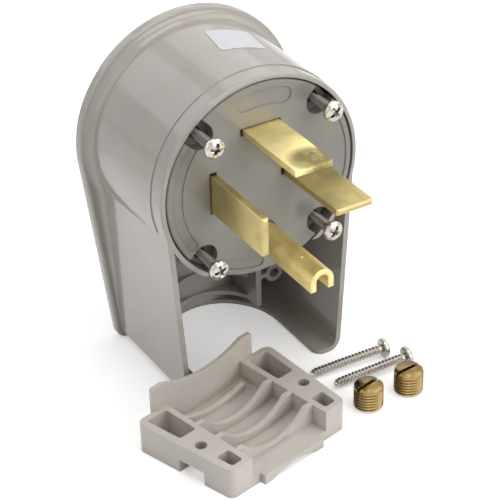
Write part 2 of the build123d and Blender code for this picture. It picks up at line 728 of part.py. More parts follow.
with BuildPart() as cord_clamp:
    clamp_half = clamp_length / 2
    pocket_inner = trough_half_width + clamp_inner_wall
    # Towers at both sides
    for side in (-1, 1):
        with BuildSketch(clamp_plane) as tower:
            with BuildLine():
                Polyline(
                    (side * trough_half_width, clamp_half),
                    (side * tower_edge(clamp_half, 0), clamp_half),
                    (side * tower_edge(-clamp_half, 0), -clamp_half),
                    (side * trough_half_width, -clamp_half),
                    close=True,
                )
            make_face()
            fillet(
                tower.vertices().filter_by(lambda corner: abs(corner.X) > pocket_inner),
                clamp_corner_radius,
            )
        extrude(amount=clamp_height)
    # Curved floor of the saddle, and the flat lip past the last rib
    with BuildSketch(clamp_section(clamp_half)):
        with BuildLine():
            sagged_edge(trough_half_width, trough_wall_level, trough_sag)
            Line((trough_half_width, trough_wall_level), (trough_half_width, trough_underside))
            sagged_edge(trough_half_width, trough_underside, trough_sag)
            Line((-trough_half_width, trough_underside), (-trough_half_width, trough_wall_level))
        make_face()
    extrude(amount=clamp_half - last_rib_offset)
    with BuildSketch(clamp_section(last_rib_offset + rib_thickness / 2)):
        with BuildLine():
            Polyline(
                (-end_arch_half_width, 0),
                (-trough_half_width, 0),
                (-trough_half_width, end_lip_height),
                (trough_half_width, end_lip_height),
                (trough_half_width, 0),
                (end_arch_half_width, 0),
            )
            ThreePointArc((end_arch_half_width, 0), (0, end_arch_rise), (-end_arch_half_width, 0))
        make_face()
    extrude(amount=last_rib_offset + rib_thickness / 2 + clamp_half)
    with BuildSketch(clamp_section(-clamp_half)):
        with BuildLine():
            Polyline(
                (-end_arch_half_width, 0),
                (-end_lip_half_width, 0),
                (-end_lip_half_width, end_lip_height),
                (end_lip_half_width, end_lip_height),
                (end_lip_half_width, 0),
                (end_arch_half_width, 0),
            )
            ThreePointArc((end_arch_half_width, 0), (0, end_arch_rise), (-end_arch_half_width, 0))
        make_face()
    extrude(amount=end_lip_reach)
    # Ribs that bite on the cord: three high ones, level at their ends, and a low one by the fin
    for number in range(rib_count):
        rib_offset = rib_first_offset - number * rib_pitch
        with BuildSketch(clamp_section(rib_offset + rib_thickness / 2)):
            with BuildLine():
                sagged_edge(rib_half_span, clamp_height, rib_sag)
                Polyline(
                    (rib_half_span, clamp_height),
                    (trough_half_width, clamp_height),
                    (trough_half_width, trough_underside),
                )
                sagged_edge(trough_half_width, trough_underside, trough_sag)
                Polyline(
                    (-trough_half_width, trough_underside),
                    (-trough_half_width, clamp_height),
                    (-rib_half_span, clamp_height),
                )
            make_face()
        extrude(amount=rib_thickness)
    with BuildSketch(clamp_section(low_rib_offset + rib_thickness / 2)):
        with BuildLine():
            sagged_edge(low_rib_half_length, low_rib_level, low_rib_sag)
            Line((low_rib_half_length, low_rib_level), (low_rib_half_length, low_rib_foot))
            sagged_edge(low_rib_half_length, low_rib_foot, trough_sag)
            Line((-low_rib_half_length, low_rib_foot), (-low_rib_half_length, low_rib_level))
        make_face()
    extrude(amount=rib_thickness)
    # Fin across the far end, its top edge cut to the cord
    with BuildSketch(clamp_section(clamp_half + fin_thickness)) as fin_outline:
        with BuildLine():
            Polyline(
                (-fin_half_span, fin_height),
                (-fin_half_width, fin_height),
                (-fin_half_width, 0),
                (fin_half_width, 0),
                (fin_half_width, fin_height),
                (fin_half_span, fin_height),
            )
            sagged_edge(fin_half_span, fin_height, fin_sag)
        make_face()
        fin_corners = fin_outline.vertices().group_by(Axis.Y)[-1].sort_by(Axis.X)
        fillet([fin_corners[0], fin_corners[-1]], fin_corner_radius)
    extrude(amount=fin_thickness)
    # Pockets that lighten the towers, screw holes and the notches for the screw heads
    with BuildSketch(clamp_plane.offset(clamp_height)) as pockets:
        for side in (-1, 1):
            for near, far in ((large_pocket_near, large_pocket_far), (small_pocket_near, small_pocket_far)):
                with BuildLine():
                    Polyline(
                        (side * pocket_inner, near),
                        (side * tower_edge(near, clamp_outer_wall), near),
                        (side * tower_edge(far, clamp_outer_wall), far),
                        (side * pocket_inner, far),
                        close=True,
                    )
                make_face()
        fillet(pockets.vertices(), pocket_corner_radius)
    extrude(amount=-pocket_depth, mode=Mode.SUBTRACT)
    with BuildSketch(clamp_plane):
        for side in (-1, 1):
            with Locations((side * clamp_screw_spacing / 2, clamp_hole_offset)):
                Circle(clamp_hole_radius)
    extrude(amount=clamp_height, mode=Mode.SUBTRACT)
    with BuildSketch(clamp_plane):
        for side in (-1, 1):
            with Locations((side * (pocket_inner + clamp_wide_half) / 2, clamp_hole_offset)):
                Rectangle(clamp_wide_half - pocket_inner, clamp_notch_width)
    extrude(amount=clamp_notch_height, mode=Mode.SUBTRACT)

cord_clamp.part.label = "cord_clamp"
export_step(cord_clamp.part, "parts/cord_clamp.step")

# Blank paper label, bent round the top of the drum
label_front = label_depth - label_length
label_rear = label_depth + label_length
front_radius = drum_radius + (label_front - rim_length) * drum_slope + label_gap
rear_radius = drum_radius + (label_rear - rim_length) * drum_slope + label_gap
label_tilt = radians(label_angle)
label_plane = Plane(
    origin=(drum_radius * sin(label_tilt), label_depth, drum_radius * cos(label_tilt)),
    x_dir=(cos(label_tilt), 0, -sin(label_tilt)),
    z_dir=(sin(label_tilt), 0, cos(label_tilt)),
)
with BuildPart() as label:
    with BuildSketch(Plane.XY):
        with BuildLine():
            Polyline(
                (front_radius, label_front),
                (front_radius + label_thickness, label_front),
                (rear_radius + label_thickness, label_rear),
                (rear_radius, label_rear),
                close=True,
            )
        make_face()
    revolve(axis=Axis.Y)
    with BuildSketch(label_plane):
        with Locations(Location((0, 0, 0), -label_turn)):
            RectangleRounded(label_width, label_length, label_corner_radius)
    extrude(amount=label_width / 3, both=True, mode=Mode.INTERSECT)

label.part.label = "label"
export_step(label.part, "parts/label.step")
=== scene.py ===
import math

import bmesh
import bpy
from mathutils import Matrix, Vector


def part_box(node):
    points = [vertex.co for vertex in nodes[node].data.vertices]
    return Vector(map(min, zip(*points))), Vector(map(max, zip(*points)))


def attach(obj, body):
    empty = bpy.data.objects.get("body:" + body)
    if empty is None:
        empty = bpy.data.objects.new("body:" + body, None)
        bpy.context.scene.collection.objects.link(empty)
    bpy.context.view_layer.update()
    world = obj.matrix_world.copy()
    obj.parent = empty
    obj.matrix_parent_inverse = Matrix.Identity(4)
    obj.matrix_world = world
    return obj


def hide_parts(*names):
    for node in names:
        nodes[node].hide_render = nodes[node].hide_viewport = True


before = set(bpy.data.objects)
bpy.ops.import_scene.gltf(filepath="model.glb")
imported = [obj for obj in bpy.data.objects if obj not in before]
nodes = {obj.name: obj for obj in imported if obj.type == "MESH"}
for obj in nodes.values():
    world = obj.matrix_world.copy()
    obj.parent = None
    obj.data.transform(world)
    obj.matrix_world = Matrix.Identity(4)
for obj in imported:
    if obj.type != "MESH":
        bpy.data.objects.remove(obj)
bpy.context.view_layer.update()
MM = 0.001
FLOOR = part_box("housing")[0].z
Y, Z = 1, 2


# ---------------------------------------------------------------- node helpers
class Look:
    """One material's node tree, with short calls for the nodes that the looks use."""

    def __init__(self, name):
        self.material = bpy.data.materials.new(name)
        self.material.use_nodes = True
        self.tree = self.material.node_tree
        self.tree.nodes.clear()
        self.shader = self.add("ShaderNodeBsdfPrincipled")
        self.link(self.shader.outputs[0], self.add("ShaderNodeOutputMaterial").inputs["Surface"])
        self.place = self.add("ShaderNodeTexCoord").outputs["Object"]

    def add(self, kind):
        return self.tree.nodes.new(kind)

    def link(self, source, target):
        self.tree.links.new(source, target)

    def put(self, value, socket):
        """A link where value is a socket, otherwise a plain number or a colour."""
        if isinstance(value, bpy.types.NodeSocket):
            self.link(value, socket)
        elif isinstance(value, tuple):
            socket.default_value = (*value, 1.0)
        else:
            socket.default_value = value

    def stretched(self, scale, turn=(0, 0, 0), shift=(0, 0, 0)):
        """The point, scaled, turned and shifted, for a pattern that runs one way."""
        node = self.add("ShaderNodeMapping")
        self.link(self.place, node.inputs["Vector"])
        node.inputs["Scale"].default_value = scale
        node.inputs["Rotation"].default_value = turn
        node.inputs["Location"].default_value = shift
        return node.outputs[0]

    def noise(self, scale, detail=3.0, rough=0.55, bend=0.0, where=None):
        node = self.add("ShaderNodeTexNoise")
        self.link(where or self.place, node.inputs["Vector"])
        node.inputs["Scale"].default_value = scale
        node.inputs["Detail"].default_value = detail
        node.inputs["Roughness"].default_value = rough
        node.inputs["Distortion"].default_value = bend
        return node.outputs["Fac"]

    def cells(self, scale):
        """Distance to the nearest of many scattered points."""
        node = self.add("ShaderNodeTexVoronoi")
        self.link(self.place, node.inputs["Vector"])
        node.inputs["Scale"].default_value = scale
        return node.outputs["Distance"]

    def span(self, value, low, high, to_low=0.0, to_high=1.0):
        """A value's range low to high, eased onto to_low to to_high."""
        node = self.add("ShaderNodeMapRange")
        node.interpolation_type = "SMOOTHSTEP"
        self.link(value, node.inputs["Value"])
        ends = {"From Min": low, "From Max": high, "To Min": to_low, "To Max": to_high}
        for name, number in ends.items():
            node.inputs[name].default_value = number
        return node.outputs[0]

    def math(self, kind, a, b):
        node = self.add("ShaderNodeMath")
        node.operation = kind
        self.put(a, node.inputs[0])
        self.put(b, node.inputs[1])
        return node.outputs[0]

    def times(self, a, b):
        return self.math("MULTIPLY", a, b)

    def plus(self, a, b):
        return self.math("ADD", a, b)

    def mix(self, share, a, b):
        """Colour a with this share of colour b over it."""
        node = self.add("ShaderNodeMix")
        node.data_type = "RGBA"
        self.put(share, node.inputs[0])
        self.put(a, node.inputs[6])
        self.put(b, node.inputs[7])
        return node.outputs[2]

    def part(self, vector, axis):
        """One coordinate of a vector."""
        node = self.add("ShaderNodeSeparateXYZ")
        self.link(vector, node.inputs[0])
        return node.outputs[axis]

    def true_normal(self):
        return self.add("ShaderNodeNewGeometry").outputs["Normal"]

    def spot(self, centre, reach, edge, stretch):
        """1 at a place, given in millimetres, up to this share of its reach, and 0 from the reach on."""
        node = self.add("ShaderNodeMapping")
        node.vector_type = "TEXTURE"
        self.link(self.place, node.inputs["Vector"])
        node.inputs["Location"].default_value = tuple(value * MM for value in centre)
        node.inputs["Scale"].default_value = stretch
        length = self.add("ShaderNodeVectorMath")
        length.operation = "LENGTH"
        self.link(node.outputs[0], length.inputs[0])
        return self.span(length.outputs["Value"], reach * MM * edge, reach * MM, 1, 0)

    def rounded(self, radius):
        """Normal with the edges softened to this radius, and a mask that is 1 on them."""
        bevel = self.add("ShaderNodeBevel")
        bevel.samples = 6
        bevel.inputs["Radius"].default_value = radius
        dot = self.add("ShaderNodeVectorMath")
        dot.operation = "DOT_PRODUCT"
        self.link(bevel.outputs[0], dot.inputs[0])
        self.link(self.true_normal(), dot.inputs[1])
        return bevel.outputs[0], self.span(dot.outputs["Value"], 0.97, 0.80)

    def hollows(self, distance):
        """1 in the open and less in corners and hollows."""
        node = self.add("ShaderNodeAmbientOcclusion")
        node.samples = 8
        node.inputs["Distance"].default_value = distance
        return node.outputs["AO"]

    def bump(self, height, distance, strength, normal=None):
        node = self.add("ShaderNodeBump")
        node.inputs["Strength"].default_value = strength
        node.inputs["Distance"].default_value = distance
        self.link(height, node.inputs["Height"])
        if normal is not None:
            self.link(normal, node.inputs["Normal"])
        return node.outputs[0]

    def finish(self, color, roughness, normal=None, **constants):
        self.put(color, self.shader.inputs["Base Color"])
        self.put(roughness, self.shader.inputs["Roughness"])
        if normal is not None:
            self.link(normal, self.shader.inputs["Normal"])
        for name, value in constants.items():
            self.shader.inputs[name].default_value = value
        return self.material


def shade(color, factor):
    return tuple(channel * factor for channel in color)


# ---------------------------------------------------------------- materials
NYLON_IOR, PAPER_IOR, FLOOR_IOR = 1.53, 1.48, 1.3

# each nylon has a base colour and a second colour, used for dust and for painted shade in its corners
HOUSING = (0.410, 0.384, 0.352)
HOUSING_DUST_AND_SHADE = (0.15, 0.125, 0.105)
CLAMP = (0.600, 0.560, 0.518)
CLAMP_DUST_AND_SHADE = (0.24, 0.195, 0.16)
CARRIER = (0.262, 0.252, 0.232)
CARRIER_DUST_AND_SHADE = (0.12, 0.11, 0.10)

BLADE = (0.56, 0.46, 0.20)
# painted light: the top blade's brass is the side blades' brass made brighter, a lit copy for the blade
# that faces up
TOP_BLADE_LIT = (0.99, 0.85, 0.41)
BLADE_TARNISH = (0.30, 0.24, 0.11)
PIN = (0.93, 0.76, 0.33)
PIN_TARNISH = (0.36, 0.23, 0.09)
TERMINAL = (0.62, 0.46, 0.20)
SET_SCREW = (0.36, 0.255, 0.107)
SCREW_TARNISH = (0.22, 0.14, 0.06)
# colour of rubbed brass edges, partly wear and partly a painted highlight
BRASS_RUBBED_HIGHLIGHT = (0.93, 0.84, 0.52)
BRASS_SMUDGE = (0.200, 0.168, 0.060)

NICKEL = (0.56, 0.53, 0.49)
ZINC = (0.46, 0.425, 0.385)
# colour of rubbed steel edges, partly wear and partly a painted highlight
STEEL_RUBBED_HIGHLIGHT = (0.88, 0.86, 0.83)
STEEL_RUST = (0.17, 0.13, 0.10)
# near black, for painted shade in the hollows of the steel
STEEL_HOLLOW_SHADE = (0.045, 0.038, 0.032)
# dark colour for painted shade on screw shanks inside their holes
STEEL_SHANK_SHADE = (0.085, 0.078, 0.070)

SMUDGE_REACH = 9.0
NICK_REACH = 0.75
NICK_DEPTH = 0.35 * MM

PAPER_LOW = (0.62, 0.61, 0.64)
PAPER_HIGH = (0.69, 0.68, 0.71)
PAPER_STAIN = (0.58, 0.54, 0.49)


def nylon(name, base, dust_and_shade, rough, peel, grain):
    """Moulded nylon: cloudy tone, soft orange peel, dust, rubbed edges lightened with a painted highlight,
    and painted shade in the corners.
    """
    look = Look(name)
    cloud = look.noise(34, detail=4, rough=0.6, bend=0.4)
    tone = look.mix(look.span(cloud, 0.3, 0.7), shade(base, 0.945), shade(base, 1.04))
    flow = look.noise(16, rough=0.5, bend=0.8, where=look.stretched((1, 3.2, 0.7), (0.2, 0.1, 0.5)))
    warm = (base[0] * 1.03, base[1], base[2] * 0.95)
    tone = look.mix(look.span(flow, 0.42, 0.72, 0, 0.6), tone, warm)
    speck = look.noise(1500, detail=2, rough=0.6)
    tone = look.mix(look.span(speck, 0.35, 0.75, 0, 0.05), tone, shade(base, 0.6))
    dust = look.span(look.cells(420), 0.03, 0.10, 1, 0)
    sparse = look.span(look.noise(95, detail=2), 0.60, 0.72)
    tone = look.mix(look.times(dust, look.times(sparse, 0.35)), tone, shade(dust_and_shade, 0.8))
    soft_normal, edge = look.rounded(0.34 * MM)
    # rubbed edges lightened, partly wear and partly a painted highlight
    tone = look.mix(look.times(edge, 0.28), tone, shade(base, 1.30))
    # painted shade: corners and hollows darkened towards the second colour where shade falls, broken into
    # patches
    corner = look.span(look.hollows(4.5 * MM), 0.35, 0.95, 1, 0)
    patches = look.span(look.noise(120, detail=4, rough=0.6), 0.25, 0.75, 0.10, 0.55)
    tone = look.mix(look.times(corner, patches), tone, dust_and_shade)
    smear = look.noise(38, rough=0.5, bend=0.4)
    gloss = look.plus(look.span(smear, 0.3, 0.7, *rough), look.times(edge, 0.05))
    normal = look.bump(look.noise(180, detail=2, rough=0.5), peel, 1.0, soft_normal)
    normal = look.bump(look.noise(grain, rough=0.6), 0.006 * MM, 0.8, normal)
    return look.finish(tone, gloss, normal, IOR=NYLON_IOR)


def brass(name, base, tarnish, rough, tarnish_share, edge_radius,
          grain=1.0, smudge=None, nick=None, top_painted_shade=0.0):
    """Stamped or turned brass: tumbled grain, brown tarnish, rubbed edges brightened with a painted
    highlight, and painted shade on faces turned up where asked.
    """
    look = Look(name)
    cloud = look.noise(60, detail=5, rough=0.6, bend=0.6)
    tone = look.mix(look.span(cloud, 0.3, 0.7), shade(base, 0.86), shade(base, 1.06))
    fleck = look.noise(420, detail=4, rough=0.7)
    tone = look.mix(look.span(fleck, 0.52, 0.78, 0, 0.30), tone, tarnish)
    along_blade = look.stretched((1.0, 0.55, 1.0), (0, 0, 0.15), (0.013, 0.004, 0))
    smear = look.noise(75, rough=0.6, bend=1.0, where=along_blade)
    tone = look.mix(look.span(smear, 0.50, 0.68, 0, tarnish_share), tone, tarnish)
    normal, edge = look.rounded(edge_radius)
    # rubbed edges brightened, partly wear and partly a painted highlight
    tone = look.mix(look.times(edge, 0.75), tone, BRASS_RUBBED_HIGHLIGHT)
    corner = look.span(look.hollows(3.0 * MM), 0.3, 0.9, 1, 0)
    tone = look.mix(look.times(corner, 0.45), tone, shade(tarnish, 0.6))
    if smudge:
        rubbed = look.stretched((1, 0.45, 1), (0, 0, 0.35))
        streaks = look.noise(300, detail=4, rough=0.65, bend=0.6, where=rubbed)
        patch = look.spot(smudge, SMUDGE_REACH, 0.50, (1.05, 0.95, 1.0))
        share = look.times(patch, look.span(streaks, 0.25, 0.55, 0.60, 1.0))
        tone = look.mix(look.times(share, 0.96), tone, BRASS_SMUDGE)
    # painted shade: faces turned up are darkened towards the tarnish colour
    if top_painted_shade:
        upper = look.span(look.part(look.true_normal(), Z), 0.75, 0.92)
        tone = look.mix(look.times(upper, top_painted_shade), tone, shade(tarnish, 0.9))
    gloss = look.plus(look.span(cloud, 0.3, 0.75, *rough), look.span(smear, 0.5, 0.7, 0, 0.12))
    lines = look.noise(900, rough=0.6, where=look.stretched((1, 0.06, 1)))
    height = look.plus(look.times(lines, 0.7), look.noise(2600, detail=2, rough=0.6))
    normal = look.bump(height, 0.010 * MM * grain, 0.8, normal)
    normal = look.bump(look.noise(140, rough=0.5), 0.05 * MM * grain, 0.5, normal)
    if nick:
        dent = look.spot(nick, NICK_REACH, 0.2, (1.0, 0.6, 1.0))
        normal = look.bump(dent, -NICK_DEPTH, 1.0, normal)
    return look.finish(tone, gloss, normal, Metallic=1.0)


def steel(name, base, rough, dull, edge_radius, pits, dull_and_shaded_behind=None):
    """Plated steel: fine pits, dull patches, rubbed edges with a painted highlight, painted shade in the
    hollows, and painted shade with a duller finish behind a given depth where asked.
    """
    look = Look(name)
    cloud = look.noise(200, detail=5, rough=0.65, bend=0.5)
    tone = look.mix(look.span(cloud, 0.3, 0.7), shade(base, 0.85), shade(base, 1.08))
    rust = look.noise(700, rough=0.7)
    tone = look.mix(look.span(rust, 0.58, 0.80, 0, dull), tone, STEEL_RUST)
    normal, edge = look.rounded(edge_radius)
    # rubbed edges brightened, partly wear and partly a painted highlight
    tone = look.mix(look.times(edge, 0.6), tone, STEEL_RUBBED_HIGHLIGHT)
    # painted shade: hollows darkened where shade falls
    corner = look.span(look.hollows(1.2 * MM), 0.25, 0.85, 1, 0)
    tone = look.mix(look.times(corner, 0.8), tone, STEEL_HOLLOW_SHADE)
    gloss = look.span(cloud, 0.3, 0.75, *rough)
    # painted shade, with a rougher finish, on the part behind the given depth, inside the hole
    if dull_and_shaded_behind is not None:
        behind = look.span(look.part(look.place, Y), (dull_and_shaded_behind - 0.3) * MM, (dull_and_shaded_behind + 0.3) * MM)
        tone = look.mix(look.times(behind, 0.88), tone, STEEL_SHANK_SHADE)
        gloss = look.plus(gloss, look.times(behind, 0.14))
    normal = look.bump(look.noise(3200, rough=0.65), pits, 0.8, normal)
    return look.finish(tone, gloss, normal, Metallic=1.0)


def paper(name):
    """Sticker paper: faint fibres, a semi-gloss face and slight stains."""
    look = Look(name)
    fibre = look.noise(2400, detail=4, rough=0.7, bend=0.6, where=look.stretched((1, 0.35, 1), (0, 0, 0.6)))
    tone = look.mix(look.span(fibre, 0.3, 0.7), PAPER_LOW, PAPER_HIGH)
    stain = look.noise(160, detail=4, rough=0.6, bend=0.8)
    tone = look.mix(look.span(stain, 0.55, 0.80, 0, 0.14), tone, PAPER_STAIN)
    crease = look.noise(210, rough=0.5, where=look.stretched((1.0, 0.25, 1.0), (0, 0, 0.4)))
    height = look.plus(look.times(fibre, 0.3), look.times(crease, 1.4))
    gloss = look.span(stain, 0.3, 0.7, 0.38, 0.52)
    return look.finish(tone, gloss, look.bump(height, 0.02 * MM, 0.7), IOR=PAPER_IOR)


housing_look = nylon(
    "housing_nylon_look", HOUSING, HOUSING_DUST_AND_SHADE, rough=(0.08, 0.14), peel=0.012 * MM, grain=2200)
clamp_look = nylon(
    "clamp_nylon_look", CLAMP, CLAMP_DUST_AND_SHADE, rough=(0.30, 0.42), peel=0.04 * MM, grain=1500)
carrier_look = nylon(
    "carrier_nylon_look", CARRIER, CARRIER_DUST_AND_SHADE, rough=(0.16, 0.24), peel=0.020 * MM, grain=2200)
blade_look = brass(
    "blade_brass_look", BLADE, BLADE_TARNISH, rough=(0.36, 0.48), tarnish_share=0.30, edge_radius=0.42 * MM)
# a lit copy of the blade brass, with painted light in its brighter base colour
lit_top_blade_look = brass(
    "top_blade_lit_brass_look", TOP_BLADE_LIT, BLADE_TARNISH, rough=(0.42, 0.54), tarnish_share=0.15,
    edge_radius=0.42 * MM, smudge=(2.0, -25.6, 19.1))
pin_look = brass(
    "pin_brass_look", PIN, PIN_TARNISH, rough=(0.40, 0.52), tarnish_share=0.30,
    edge_radius=0.30 * MM, nick=(-0.4, -23.5, -15.2))
terminal_look = brass(
    "terminal_brass_look", TERMINAL, SCREW_TARNISH, rough=(0.28, 0.40), tarnish_share=0.40,
    edge_radius=0.2 * MM)
# the set screws get painted shade on their upward faces
screw_look = brass(
    "screw_brass_look", SET_SCREW, SCREW_TARNISH, rough=(0.20, 0.30), tarnish_share=0.20,
    edge_radius=0.06 * MM, grain=0.1, top_painted_shade=0.55)
nickel_look = steel(
    "nickel_steel_look", NICKEL, rough=(0.09, 0.17), dull=0.15,
    edge_radius=0.12 * MM, pits=0.008 * MM, dull_and_shaded_behind=-7.2)
zinc_look = steel(
    "zinc_steel_look", ZINC, rough=(0.24, 0.32), dull=0.12, edge_radius=0.04 * MM, pits=0.002 * MM)

dress = {
    "housing": housing_look,
    "carrier_face": carrier_look,
    "carrier_back": carrier_look,
    "cord_clamp": clamp_look,
    "blade_top": lit_top_blade_look,
    "blade_left": blade_look,
    "blade_right": blade_look,
    "ground_pin": pin_look,
    "terminal_top": terminal_look,
    "terminal_left": terminal_look,
    "terminal_right": terminal_look,
    "terminal_ground": terminal_look,
    "fitted_pressure_screws": screw_look,
    "loose_pressure_screws": screw_look,
    "face_screws": nickel_look,
    "carrier_screw": zinc_look,
    "clamp_screws": zinc_look,
    "label": paper("label_paper_look"),
}
for node_name, look in dress.items():
    data = nodes[node_name].data
    data.materials.clear()
    data.materials.append(look)


# ---------------------------------------------------------------- mesh helpers
SHARP_ANGLE = math.radians(70)


def mesh_data(mesh, name):
    """Mesh data made from a bmesh, which is then freed."""
    data = bpy.data.meshes.new(name)
    mesh.to_mesh(data)
    mesh.free()
    return data


def metre_data(mesh, name):
    """The same for a closed shape drawn in millimetres."""
    bmesh.ops.recalc_face_normals(mesh, faces=mesh.faces)
    bmesh.ops.scale(mesh, vec=(MM, MM, MM), verts=mesh.verts)
    return mesh_data(mesh, name)


def in_scene(name, data):
    """A new object with this data, in the scene."""
    made = bpy.data.objects.new(name, data)
    bpy.context.scene.collection.objects.link(made)
    return made


def smooth_by_angle(data):
    """Smooth shading, with sharp edges where two faces meet at more than SHARP_ANGLE."""
    mesh = bmesh.new()
    mesh.from_mesh(data)
    for face in mesh.faces:
        face.smooth = True
    for edge in mesh.edges:
        edge.smooth = len(edge.link_faces) == 2 and edge.calc_face_angle() < SHARP_ANGLE
    mesh.to_mesh(data)
    mesh.free()


def join_rings(mesh, rows, first_point=None, last_point=None):
    """Rings of points, joined by triangles that lean with the thread, with both ends closed."""
    rings = [[mesh.verts.new(point) for point in row] for row in rows]
    count = len(rings[0])
    for ring, following in zip(rings, rings[1:]):
        for i in range(count):
            j = (i + 1) % count
            mesh.faces.new((ring[i], ring[j], following[j]))
            mesh.faces.new((ring[i], following[j], following[i]))
    for point, ring, flip in ((first_point, rings[0], True), (last_point, rings[-1], False)):
        if point is None:
            mesh.faces.new(list(reversed(ring)) if flip else ring)
            continue
        tip = mesh.verts.new(point)
        for i in range(count):
            j = (i + 1) % count
            mesh.faces.new((tip, ring[j], ring[i]) if flip else (tip, ring[i], ring[j]))


def angles_round(sides):
    return [2 * math.pi * i / sides for i in range(sides)]


def eased(value):
    value = min(1.0, max(0.0, value))
    return value * value * (3 - 2 * value)


# ---------------------------------------------------------------- screws, sizes in millimetres
HEAD_RINGS = 44
DOME_SHARE = 0.62               # of the head's height, where the dome meets its rim
DOME_POWER = 0.9
HEAD_SIDE = ((0.80, 1.0), (0.95, 0.985), (1.0, 0.93))   # shares of the head's height and radius
NECK_SHARES = (0.8, 0.66, 0.58)
NECK_CREST = 0.86
CROSS_WALL, CROSS_END = 5.0, 1.9                        # slopes inside the cross recess
RUN_IN = 0.6                    # of a pitch, over which the thread rises from the plain neck
BARE_DEPTH = 0.6                # of the thread's depth, where the plain neck lies
TIP_SHARE = 0.50                # of the radius, left at the point
TIP_BULGE = 0.12                # of the crest, by which the point stands out
RIM_UNDER = 0.1                 # by which a set screw's plain rim lies under its crest
CHAMFER_SLOPE = 1.15


def thread_radius(along, angle, size):
    """Radius of a right-hand thread at a place along its axis and an angle."""
    phase = (along / size["pitch"] - angle / (2 * math.pi)) % 1.0
    height = abs(2 * phase - 1)
    share = min(1.0, max(0.0, (height - size["flat"]) / (1 - 2 * size["flat"])))
    return size["crest"] - size["thread_depth"] * (1 - share)


def cross_depth(y, z, size):
    """Depth of a tapered cross recess at a point of the head."""
    turn = size["cross_turn"]
    y, z = y * math.cos(turn) + z * math.sin(turn), z * math.cos(turn) - y * math.sin(turn)
    deep = 0.0
    for across, along in ((abs(y), abs(z)), (abs(z), abs(y))):
        wall = (size["cross_half_width"] - across) * CROSS_WALL
        slope = (size["cross_half_length"] - along) * CROSS_END
        deep = max(deep, min(size["cross_deep"], wall, slope))
    return deep


def long_screw(name, size):
    """Round-head screw on the X axis, from the top of its head at 0 to its tip."""
    angles = angles_round(size["sides"])
    radius, height, crest = size["head_radius"], size["head_height"], size["crest"]

    def ring(x, r):
        return [Vector((x, r * math.cos(angle), r * math.sin(angle))) for angle in angles]

    rows = []
    for k in range(1, HEAD_RINGS + 1):
        swing = k / HEAD_RINGS * math.pi / 2
        row = ring(height * DOME_SHARE * (1 - math.cos(swing) ** DOME_POWER), radius * math.sin(swing))
        for point in row:
            point.x += cross_depth(point.y, point.z, size)
        rows.append(row)
    for height_share, radius_share in HEAD_SIDE:
        rows.append(ring(height * height_share, radius * radius_share))
    for share in NECK_SHARES:
        rows.append(ring(height, crest * NECK_CREST + (radius - crest) * (share - 0.5)))
    bare = crest - size["thread_depth"] * BARE_DEPTH
    steps = round(size["length"] / size["pitch"] * size["rows_per_pitch"])
    for k in range(steps + 1):
        along = size["length"] * k / steps
        run_in = eased((along - size["plain"]) / (RUN_IN * size["pitch"]))
        point = eased((size["length"] - along) / size["point"])
        row = []
        for angle in angles:
            r = bare + (thread_radius(along, angle, size) - bare) * run_in
            r *= TIP_SHARE + (1 - TIP_SHARE) * point
            row.append(Vector((height + along, r * math.cos(angle), r * math.sin(angle))))
        rows.append(row)
    mesh = bmesh.new()
    tip = Vector((height + size["length"] + crest * TIP_BULGE, 0, 0))
    join_rings(mesh, rows, Vector((size["cross_deep"], 0, 0)), tip)
    data = metre_data(mesh, name)
    smooth_by_angle(data)
    return data


def slot_cutter(name, size):
    """Box that cuts the driver slot of a set screw."""
    mesh = bmesh.new()
    bmesh.ops.create_cube(mesh, size=1.0)
    slot_box = (3 * size["crest"] * MM, size["slot"] * MM, 2 * size["slot_deep"] * MM)
    bmesh.ops.scale(mesh, vec=slot_box, verts=mesh.verts)
    bmesh.ops.translate(mesh, vec=(0, 0, size["length"] * MM), verts=mesh.verts)
    return in_scene(name + "_slot", mesh_data(mesh, name + "_slot"))


def set_screw(name, size):
    """Slotted set screw on the Z axis, its foot at 0, its driver slot along X."""
    angles = angles_round(size["sides"])
    foot_radius = size["crest"] - size["chamfer"]
    rows = []
    steps = round(size["length"] / size["pitch"] * size["rows_per_pitch"])
    for k in range(steps + 1):
        along = size["length"] * k / steps
        to_top = size["length"] - along
        limit = foot_radius + min(along, to_top) * CHAMFER_SLOPE
        row = []
        for angle in angles:
            r = size["crest"] - RIM_UNDER if to_top < size["rim"] else thread_radius(along, angle, size)
            r = min(r, max(limit, foot_radius))
            row.append(Vector((r * math.cos(angle), r * math.sin(angle), along)))
        rows.append(row)
    mesh = bmesh.new()
    join_rings(mesh, rows)
    body = in_scene(name + "_body", metre_data(mesh, name))
    cutter = slot_cutter(name, size)
    cut = body.modifiers.new("slot", "BOOLEAN")
    cut.object = cutter
    cut.operation = "DIFFERENCE"
    cut.solver = "EXACT"
    bpy.context.view_layer.update()
    shaped = bpy.data.meshes.new_from_object(body.evaluated_get(bpy.context.evaluated_depsgraph_get()))
    shaped.name = name
    for helper in (body, cutter):
        bpy.data.objects.remove(helper)
    smooth_by_angle(shaped)
    return shaped


def joined(name, copies, look, replaced):
    """One piece from copies of meshes, each with its own place, standing for a CAD node."""
    whole = bmesh.new()
    for data, place in copies:
        part = bmesh.new()
        part.from_mesh(data)
        part.transform(place)
        passing = mesh_data(part, "passing")
        whole.from_mesh(passing)
        bpy.data.meshes.remove(passing)
    merged = mesh_data(whole, name)
    merged.materials.clear()
    merged.materials.append(look)
    piece = in_scene(name, merged)
    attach(piece, "root")
    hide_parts(replaced)


def lying_axis(start, direction):
    """Place of a piece whose own X axis runs from start along direction, with its Z upwards."""
    x_axis = Vector(direction).normalized()
    z_axis = Vector((0, 0, 1))
    z_axis = (z_axis - x_axis * z_axis.dot(x_axis)).normalized()
    y_axis = z_axis.cross(x_axis)
    turn = Matrix((x_axis, y_axis, z_axis)).transposed().to_4x4()
    return Matrix.Translation(Vector(start) * MM) @ turn


FLOOR_MM = FLOOR / MM

